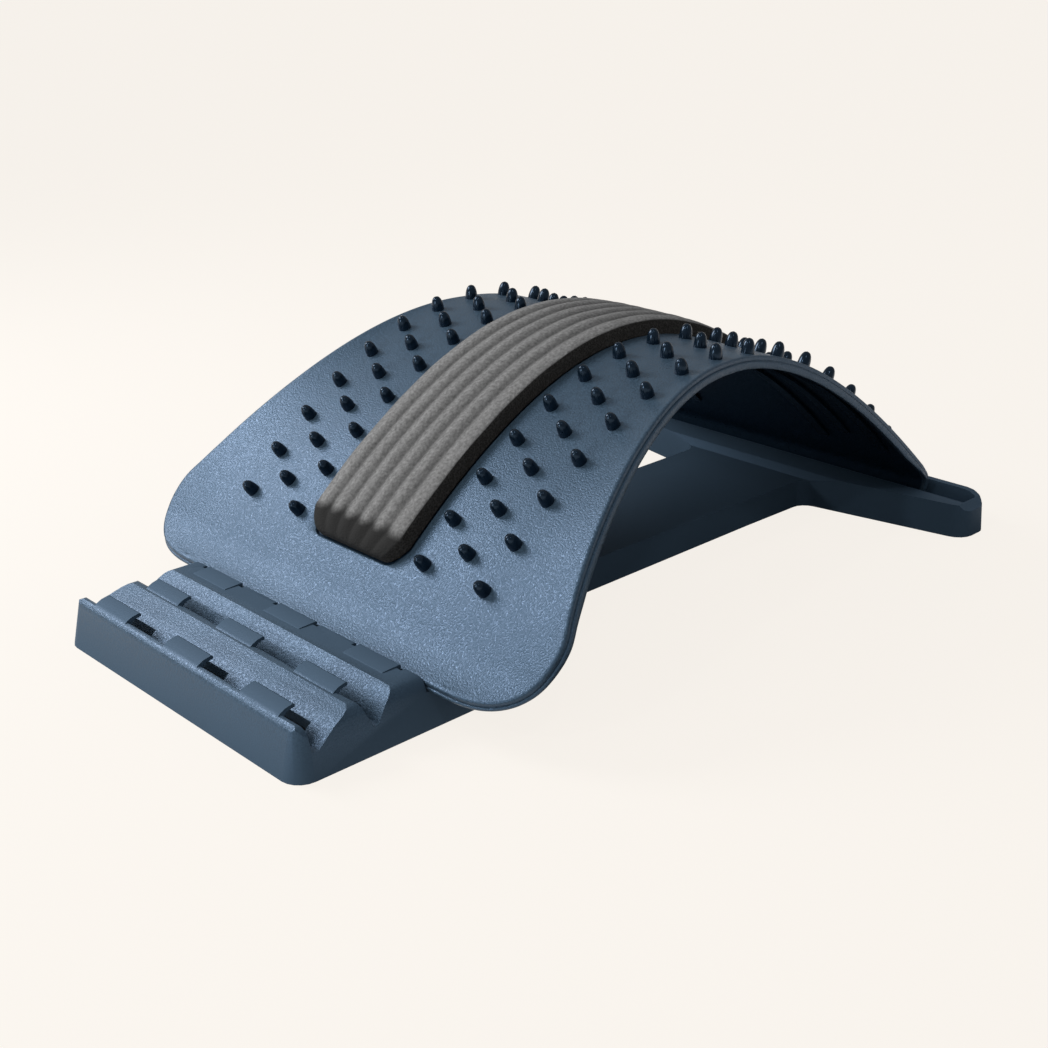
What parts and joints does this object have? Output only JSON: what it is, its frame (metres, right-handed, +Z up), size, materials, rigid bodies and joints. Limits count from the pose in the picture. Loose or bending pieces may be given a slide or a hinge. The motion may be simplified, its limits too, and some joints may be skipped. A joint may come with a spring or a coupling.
{
  "type": "back stretcher",
  "caption": "Arched lumbar stretcher: a waisted curved plate with studs and a ribbed foam pad, hooked on a low base with grooves for setting its height.",
  "frame": {"origin": "on the table under the middle of the base, halfway along its length and width", "axes": "+X along the stretcher from the grooved block to the rear foot, +Y towards the left edge seen from the block, +Z up"},
  "size_m": [0.383, 0.2462, 0.1158],
  "materials": {
    "plate": "fine grain, satin",
    "base": "fine grain, satin",
    "studs": "glossy",
    "foam": "matte foam",
    "adhesive": "matte film"
  },
  "bodies": {
    "base": {"base_frame": "base"},
    "arch": {"arch_plate": "plate", "foam_pad": "foam", "pad_adhesive": "adhesive", "stud_strip_left_inner": "studs", "stud_strip_left_middle": "studs", "stud_strip_left_outer": "studs", "stud_strip_right_inner": "studs", "stud_strip_right_middle": "studs", "stud_strip_right_outer": "studs"}
  },
  "joints": [
    {"name": "arch_lift", "type": "hinge", "parent": "base", "child": "arch", "pos_m": [0.186, 0, 0.0189], "axis": [0, 1, 0], "range_deg": [0, 60]}
  ]
}
